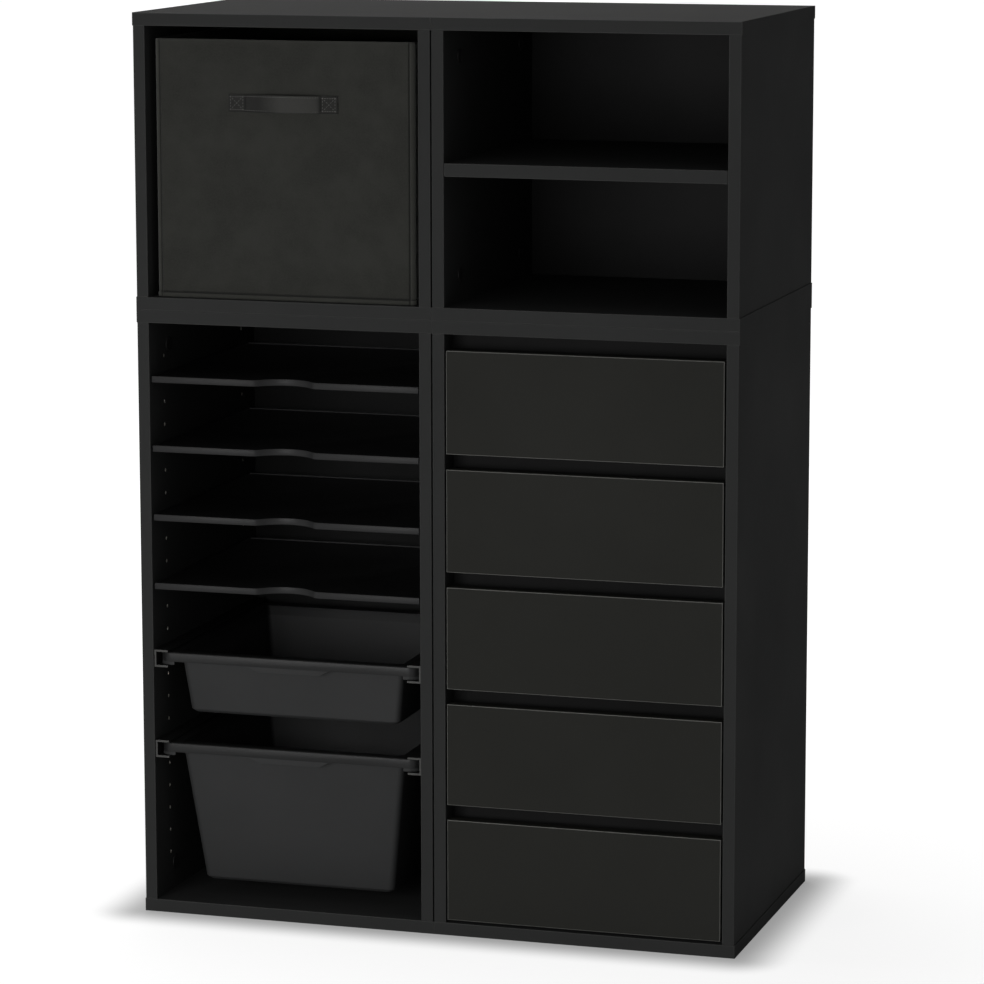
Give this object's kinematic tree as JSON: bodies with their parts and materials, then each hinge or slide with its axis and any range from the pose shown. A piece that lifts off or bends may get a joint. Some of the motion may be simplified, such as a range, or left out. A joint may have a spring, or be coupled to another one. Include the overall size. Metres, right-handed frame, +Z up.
{
  "type": "modular craft storage unit",
  "caption": "Free-standing black storage unit of stacked modules with inset drawers, pull-out paper trays, hanging bins, a shelf and a fabric bin, for paper and craft supplies.",
  "frame": {"origin": "middle of the unit's footprint, on the floor", "axes": "+X to the right seen from the front, +Y to the back, +Z up"},
  "size_m": [0.768, 0.384, 1.133],
  "materials": {
    "carcass_laminate": "satin black laminate",
    "drawer_front_laminate": "satin black laminate",
    "drawer_box_board": "black foil-wrapped board",
    "back_hardboard": "black-faced hardboard",
    "hardwood": "plain beech",
    "moulded_plastic": "fine moulded texture",
    "runner_plastic": "smooth extruded plastic",
    "zinc": "die-cast zinc",
    "pin_steel": "zinc-plated steel",
    "bin_cloth": "non-woven fabric over board",
    "strap_webbing": "folded and stitched strap"
  },
  "bodies": {
    "cabinet": {"tray_tower_top": "carcass_laminate", "tray_tower_bottom": "carcass_laminate", "tray_tower_left_side": "carcass_laminate", "tray_tower_right_side": "carcass_laminate", "tray_tower_back": "back_hardboard", "drawer_tower_top": "carcass_laminate", "drawer_tower_bottom": "carcass_laminate", "drawer_tower_left_side": "carcass_laminate", "drawer_tower_right_side": "carcass_laminate", "drawer_tower_back": "back_hardboard", "bin_cube_top": "carcass_laminate", "bin_cube_bottom": "carcass_laminate", "bin_cube_left_side": "carcass_laminate", "bin_cube_right_side": "carcass_laminate", "bin_cube_back": "back_hardboard", "shelf_cube_top": "carcass_laminate", "shelf_cube_bottom": "carcass_laminate", "shelf_cube_left_side": "carcass_laminate", "shelf_cube_right_side": "carcass_laminate", "shelf_cube_back": "back_hardboard", "shelf_cube_shelf": "carcass_laminate", "shelf_pins": "pin_steel", "drawer_tower_cross_rails": "carcass_laminate", "drawer_runners": "hardwood", "tray_rails": "runner_plastic", "bin_runners": "runner_plastic", "cam_locks": "zinc", "cam_bolts": "pin_steel", "dowels": "hardwood", "stacking_pins": "runner_plastic"},
    "drawer_1": {"drawer_1_front": "drawer_front_laminate", "drawer_1_sides": "drawer_box_board", "drawer_1_back": "drawer_box_board", "drawer_1_bottom": "back_hardboard"},
    "drawer_2": {"drawer_2_front": "drawer_front_laminate", "drawer_2_sides": "drawer_box_board", "drawer_2_back": "drawer_box_board", "drawer_2_bottom": "back_hardboard"},
    "drawer_3": {"drawer_3_front": "drawer_front_laminate", "drawer_3_sides": "drawer_box_board", "drawer_3_back": "drawer_box_board", "drawer_3_bottom": "back_hardboard"},
    "drawer_4": {"drawer_4_front": "drawer_front_laminate", "drawer_4_sides": "drawer_box_board", "drawer_4_back": "drawer_box_board", "drawer_4_bottom": "back_hardboard"},
    "drawer_5": {"drawer_5_front": "drawer_front_laminate", "drawer_5_sides": "drawer_box_board", "drawer_5_back": "drawer_box_board", "drawer_5_bottom": "back_hardboard"},
    "tray_1": {"paper_tray_1": "moulded_plastic"},
    "tray_2": {"paper_tray_2": "moulded_plastic"},
    "tray_3": {"paper_tray_3": "moulded_plastic"},
    "tray_4": {"paper_tray_4": "moulded_plastic"},
    "shallow_bin_body": {"shallow_bin": "moulded_plastic"},
    "deep_bin_body": {"deep_bin": "moulded_plastic"},
    "fabric_bin": {"fabric_bin_shell": "bin_cloth", "fabric_bin_base_board": "bin_cloth", "fabric_bin_handle": "strap_webbing"}
  },
  "joints": [
    {"name": "drawer_1_slide", "type": "slide", "parent": "cabinet", "child": "drawer_1", "axis": [0, -1, 0], "range_m": [0, 0.28]},
    {"name": "drawer_2_slide", "type": "slide", "parent": "cabinet", "child": "drawer_2", "axis": [0, -1, 0], "range_m": [0, 0.28]},
    {"name": "drawer_3_slide", "type": "slide", "parent": "cabinet", "child": "drawer_3", "axis": [0, -1, 0], "range_m": [0, 0.28]},
    {"name": "drawer_4_slide", "type": "slide", "parent": "cabinet", "child": "drawer_4", "axis": [0, -1, 0], "range_m": [0, 0.28]},
    {"name": "drawer_5_slide", "type": "slide", "parent": "cabinet", "child": "drawer_5", "axis": [0, -1, 0], "range_m": [0, 0.28]},
    {"name": "tray_1_slide", "type": "slide", "parent": "cabinet", "child": "tray_1", "axis": [0, -1, 0], "range_m": [0, 0.25]},
    {"name": "tray_2_slide", "type": "slide", "parent": "cabinet", "child": "tray_2", "axis": [0, -1, 0], "range_m": [0, 0.25]},
    {"name": "tray_3_slide", "type": "slide", "parent": "cabinet", "child": "tray_3", "axis": [0, -1, 0], "range_m": [0, 0.25]},
    {"name": "tray_4_slide", "type": "slide", "parent": "cabinet", "child": "tray_4", "axis": [0, -1, 0], "range_m": [0, 0.25]},
    {"name": "shallow_bin_slide", "type": "slide", "parent": "cabinet", "child": "shallow_bin_body", "axis": [0, -1, 0], "range_m": [0, 0.28]},
    {"name": "deep_bin_slide", "type": "slide", "parent": "cabinet", "child": "deep_bin_body", "axis": [0, -1, 0], "range_m": [0, 0.28]},
    {"name": "fabric_bin_slide", "type": "slide", "parent": "cabinet", "child": "fabric_bin", "axis": [0, -1, 0], "range_m": [0, 0.37]}
  ]
}
